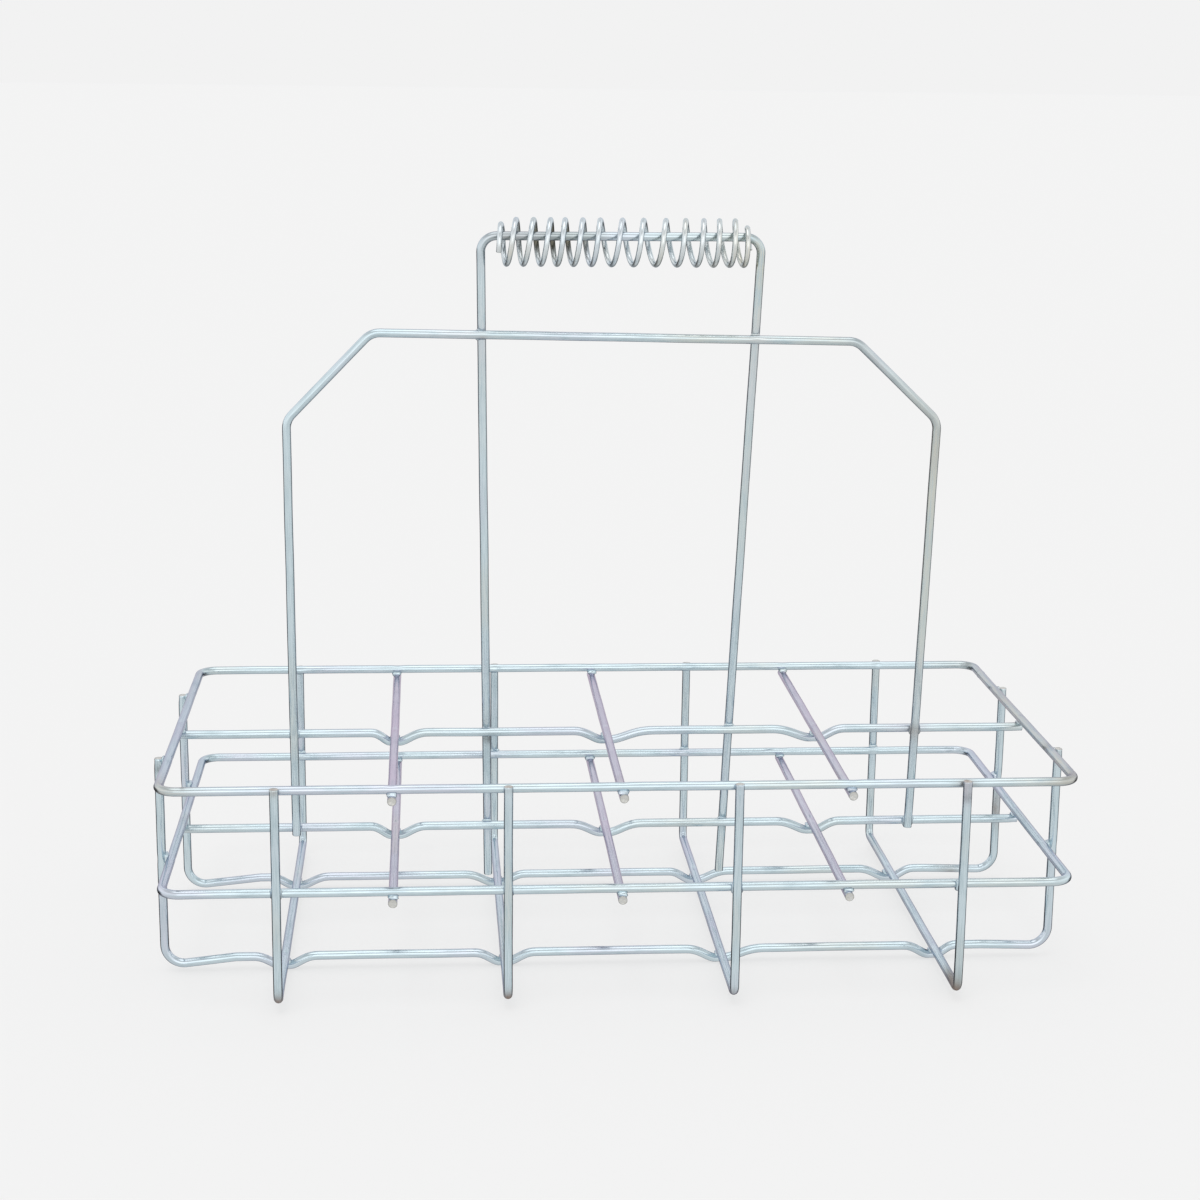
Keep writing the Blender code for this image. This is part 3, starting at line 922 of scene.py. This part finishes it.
coil = {
    "radius": 10.7 * mm,  # to the middle of its wire
    "hang": 2.9 * mm,  # of its middle line below the bar's
    "length": 120.4 * mm,  # from its first top to its last
    "shift": 1.2 * mm,  # along X from the middle of the bar
    "turnShares": (61, 70, 68, 58, 71, 70, 89, 85, 90, 80, 73, 63, 64, 49),  # pitch of each turn
    "tilt": (-1.1 * mm, 1.6 * mm),  # of a turn's bottom along X, first turn and last
    "seatGap": (2.0 * mm, 0.9 * mm),  # between the bar and the first and last top
    "tailAngle": 115,  # in degrees, by which each end goes on past its top
    "tailRun": (1.2 * mm, 2.7 * mm),  # of each along X
    "turnPoints": 60,
    "seed": 171,
}


def makeCoil():
    # Each turn goes from the top down the back, under and up the front. x follows the pitch of each turn
    # plus a tilt, y and z the sine and cosine of the turn. The radius is drawn in near the first and last
    # top.
    pitches = np.array(coil["turnShares"], float)
    tops = np.concatenate([[0], np.cumsum(pitches)]) / pitches.sum() * coil["length"]
    turns = len(pitches)
    tail = coil["tailAngle"] / 360
    turn = np.linspace(-tail, turns + tail, coil["turnPoints"] * turns)
    inside = np.clip(turn, 0, turns)
    x = np.interp(inside, np.arange(turns + 1), tops)
    x += np.interp(inside, [0, turns], coil["tilt"]) * (1 - np.cos(math.tau * inside)) / 2
    x -= np.clip(-turn / tail, 0, 1) * coil["tailRun"][0]
    x += np.clip((turn - turns) / tail, 0, 1) * coil["tailRun"][1]
    radius = np.full(len(turn), coil["radius"])
    seat = coil["hang"] + r + coilWire["radius"]
    for top, gap in zip((0, turns), coil["seatGap"]):
        near = np.clip(1 - 2 * np.abs(turn - top), 0, 1)
        radius -= (coil["radius"] - seat - gap) * np.sin(near * math.pi / 2) ** 2
    startX = handle["topShift"] + coil["shift"] - coil["length"] / 2
    y = lean(handle["barZ"], 1) + radius * np.sin(math.tau * turn)
    z = handle["barZ"] - coil["hang"] + radius * np.cos(math.tau * turn)
    line = np.stack([startX + x, y, z], 1)
    sweptWire("grip_coil", line, xAxis, coilWire, coil["seed"], body="grip")


makeCoil()
print("grip coil wound")


# Weld nuggets: metal squeezed out of the corners between two crossed wires

nugget = {
    "reach": 2.9 * mm,  # in the plane of the two wires
    "height": 1.75 * mm,  # half of it, across that plane
    "reachRange": (0.86, 1.05),  # least and most of each, as shares
    "heightRange": (0.9, 1.1),
    "lobes": 0.12,  # more towards the four corners
    "lump": 0.22,
    "lumpWaves": (1, 4, 6),  # fewest round it, most, and how many of them
    "offCentre": 0.45 * mm,
    "rows": 14,
    "columns": 28,
    "seed": 201,  # of the first group; each of the others has the next number
}


def makeNuggets(group, seed):
    # Each is a flattened ball, cos and sin of latitude and longitude, with four lobes and a lumpy surface.
    draw = np.random.default_rng(seed)
    latitude = np.linspace(-math.pi / 2, math.pi / 2, nugget["rows"] + 1)[1:-1][:, None]
    longitude = np.linspace(0, math.tau, nugget["columns"], endpoint=False)[None]
    ball, caps = gridFaces(nugget["rows"] - 1, nugget["columns"])
    lobes = 1 - nugget["lobes"] * np.cos(4 * longitude)
    points, quads, triangles = [], [], []
    for weld in (w for w in welds if w["group"] == group):
        along, across = weld["along"], weld["across"]
        normal = np.cross(along, across)
        lump = waves(latitude / math.pi, longitude, int(draw.integers(1 << 30)), *nugget["lumpWaves"])
        size = weld["size"] * draw.uniform(*nugget["reachRange"])
        shift = nugget["offCentre"] * draw.uniform(-1, 1, 2)
        middle = weld["place"] + shift[0] * along + shift[1] * across
        flat = nugget["reach"] * size * lobes * (1 + nugget["lump"] * lump) * np.cos(latitude)
        tall = nugget["height"] * size * draw.uniform(*nugget["heightRange"])
        height = tall * np.sin(latitude) * np.ones_like(longitude)
        body = (middle + along * (flat * np.cos(longitude))[:, :, None]
                + across * (flat * np.sin(longitude))[:, :, None] + normal * height[:, :, None])
        poles = middle + np.array([[-1], [1]]) * normal * abs(height[0, 0])
        offset = sum(len(ready) for ready in points)
        points.append(np.concatenate([body.reshape(-1, 3), poles]))
        quads.append(ball + offset)
        triangles.append(caps + offset)
    points, quads, triangles = (np.concatenate(parts) for parts in (points, quads, triangles))
    piece = pieceFrom(group, points, quads, triangles, rackWire, points, np.zeros(len(points)))
    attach(piece, "frame")


weldGroups = ("top_ring_welds", "middle_ring_welds", "cradle_welds", "base_welds", "upright_welds")
for i, group in enumerate(weldGroups):
    makeNuggets(group, nugget["seed"] + i)
print("welds made:", len(welds))
